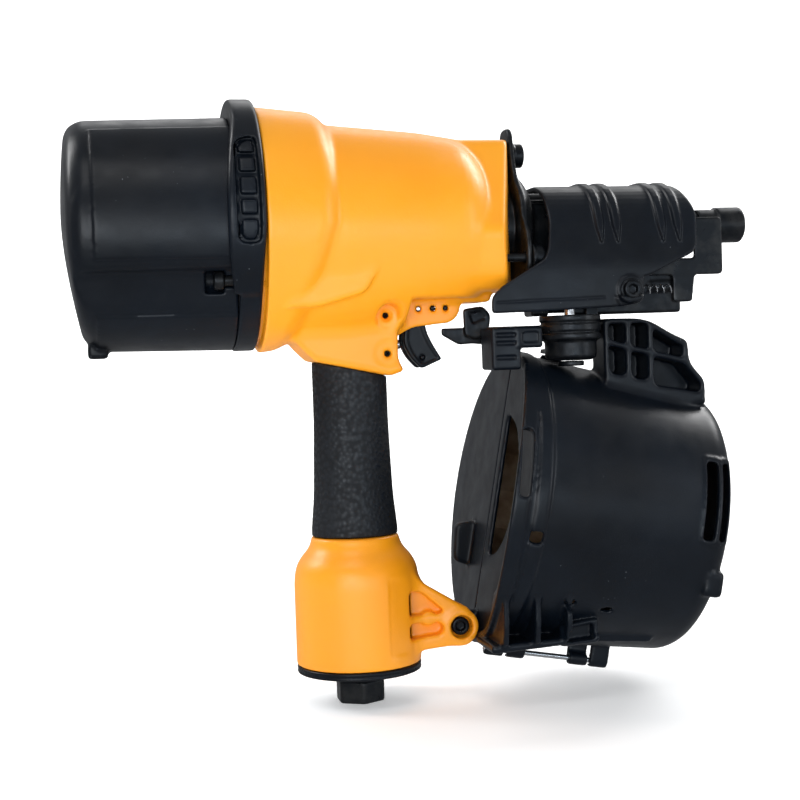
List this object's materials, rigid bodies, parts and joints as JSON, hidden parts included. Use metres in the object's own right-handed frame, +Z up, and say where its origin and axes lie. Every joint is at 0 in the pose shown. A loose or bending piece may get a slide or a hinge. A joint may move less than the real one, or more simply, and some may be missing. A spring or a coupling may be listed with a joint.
{
  "type": "pneumatic coil nailer",
  "caption": "Pneumatic coil nailer with a cast body, rubber grip, sliding work contact, sprung trigger and a tilted drum magazine that opens on a hinge.",
  "frame": {"origin": "under the middle of the bounding box, level with the bottom of the air fitting", "axes": "+X along the drive axis towards the muzzle, +Y to the tool's left, +Z up"},
  "size_m": [0.402, 0.172, 0.345],
  "materials": {
    "orange_paint": "satin",
    "black_plastic": "satin",
    "grip_rubber": "pebbled",
    "seal_rubber": "matte",
    "black_steel": "black oxide",
    "bright_steel": "satin",
    "aluminium": "machined",
    "tan_steel": "oil tempered"
  },
  "bodies": {
    "frame": {"housing": "orange_paint", "grip_sleeve": "grip_rubber", "end_cap": "black_plastic", "air_fitting": "black_steel", "rear_cap": "black_plastic", "cap_gasket": "seal_rubber", "exhaust_deflector": "black_plastic", "cap_bolt_1": "black_steel", "cap_bolt_2": "black_steel", "cap_bolt_3": "black_steel", "cylinder_sleeve": "aluminium", "bumper": "seal_rubber", "head_valve_spring": "bright_steel", "nosepiece": "black_steel", "nose_bolt_1": "black_steel", "nose_bolt_2": "black_steel", "nose_bolt_3": "black_steel", "nose_cover": "black_plastic", "cover_screw": "black_steel", "nose_door_pin": "bright_steel", "contact_spring": "bright_steel", "trigger_pin": "bright_steel", "guide_pin_1": "black_steel", "guide_pin_2": "black_steel", "roll_pin_1": "black_steel", "roll_pin_2": "black_steel", "valve_body": "black_plastic", "valve_spring": "bright_steel", "feed_cylinder": "black_steel", "feed_plug": "black_steel", "feed_spring": "bright_steel", "magazine_mount": "black_plastic", "canister_body": "black_plastic", "canister_hinge_pin": "bright_steel", "platform_post": "bright_steel", "arm_bolt": "black_steel", "arm_nut": "black_steel"},
    "driver": {"piston": "aluminium", "piston_ring": "seal_rubber", "driver_blade": "bright_steel"},
    "head_valve": {"head_valve": "aluminium", "head_valve_seal": "seal_rubber"},
    "work_contact": {"contact_tip": "black_steel", "contact_arm": "black_steel"},
    "trigger": {"trigger": "black_plastic", "trigger_lever_pin": "black_steel"},
    "trigger_lever": {"trigger_lever": "black_steel"},
    "valve_stem": {"valve_stem": "bright_steel"},
    "feed_carriage": {"feed_piston": "aluminium", "feed_slide": "black_steel", "pawl_pin": "bright_steel"},
    "feed_pawl": {"feed_pawl": "bright_steel"},
    "nose_door": {"nose_door": "black_steel"},
    "nose_door_latch": {"nose_door_latch": "black_steel"},
    "canister_door": {"canister_door": "black_plastic", "door_liner": "tan_steel"},
    "canister_latch": {"canister_latch": "black_steel"},
    "nail_platform": {"nail_platform": "black_plastic"}
  },
  "joints": [
    {"name": "driver_stroke", "type": "slide", "parent": "frame", "child": "driver", "axis": [1, 0, 0], "range_m": [0, 0.1355]},
    {"name": "head_valve_lift", "type": "slide", "parent": "frame", "child": "head_valve", "axis": [-1, 0, 0], "range_m": [0, 0.012], "stiffness_N_per_m": 1500, "springref_m": -0.005, "deforming": ["head_valve_spring"]},
    {"name": "work_contact_press", "type": "slide", "parent": "frame", "child": "work_contact", "axis": [-1, 0, 0], "range_m": [0, 0.012], "stiffness_N_per_m": 500, "springref_m": -0.01, "deforming": ["contact_spring"]},
    {"name": "trigger_pull", "type": "hinge", "parent": "frame", "child": "trigger", "pos_m": [-0.003, 0, 0.2245], "axis": [0, 1, 0], "range_deg": [0, 8], "stiffness_Nm_per_rad": 0.5, "springref_deg": -11.46},
    {"name": "trigger_lever_rock", "type": "hinge", "parent": "trigger", "child": "trigger_lever", "pos_m": [-0.0005, 0, 0.1965], "axis": [0, 1, 0], "range_deg": [-5, 5]},
    {"name": "valve_stem_slide", "type": "slide", "parent": "frame", "child": "valve_stem", "axis": [-1, 0, 0], "range_m": [0, 0.003], "deforming": ["valve_spring"]},
    {"name": "feed_stroke", "type": "slide", "parent": "frame", "child": "feed_carriage", "axis": [0, 0, -1], "range_m": [0, 0.008], "stiffness_N_per_m": 300, "springref_m": -0.01, "deforming": ["feed_spring"]},
    {"name": "feed_pawl_click", "type": "hinge", "parent": "feed_carriage", "child": "feed_pawl", "pos_m": [0.081, -0.0155, 0.229], "axis": [1, 0, 0], "range_deg": [0, 30], "stiffness_Nm_per_rad": 0.02, "springref_deg": -11.46},
    {"name": "nose_door_swing", "type": "hinge", "parent": "frame", "child": "nose_door", "pos_m": [0.112, 0.011, 0.287], "axis": [1, 0, 0], "range_deg": [0, 100]},
    {"name": "nose_door_latch_turn", "type": "hinge", "parent": "nose_door", "child": "nose_door_latch", "pos_m": [0.078, 0.0135, 0.2295], "axis": [0, 1, 0], "range_deg": [0, 60]},
    {"name": "canister_door_swing", "type": "hinge", "parent": "frame", "child": "canister_door", "pos_m": [0.02333, 0, 0.02576], "axis": [-0.9826, 0, 0.1857], "range_deg": [0, 95]},
    {"name": "canister_latch_lift", "type": "hinge", "parent": "frame", "child": "canister_latch", "pos_m": [0.05641, -0.0084, 0.20086], "axis": [0.9826, 0, -0.1857], "range_deg": [0, 80]},
    {"name": "nail_platform_adjust", "type": "slide", "parent": "frame", "child": "nail_platform", "axis": [0.9826, 0, -0.1857], "range_m": [-0.04, 0.032]}
  ],
  "couplings": [
    {"joint": "valve_stem_slide", "follows": "trigger_pull", "m_per_rad": 0.02}
  ]
}
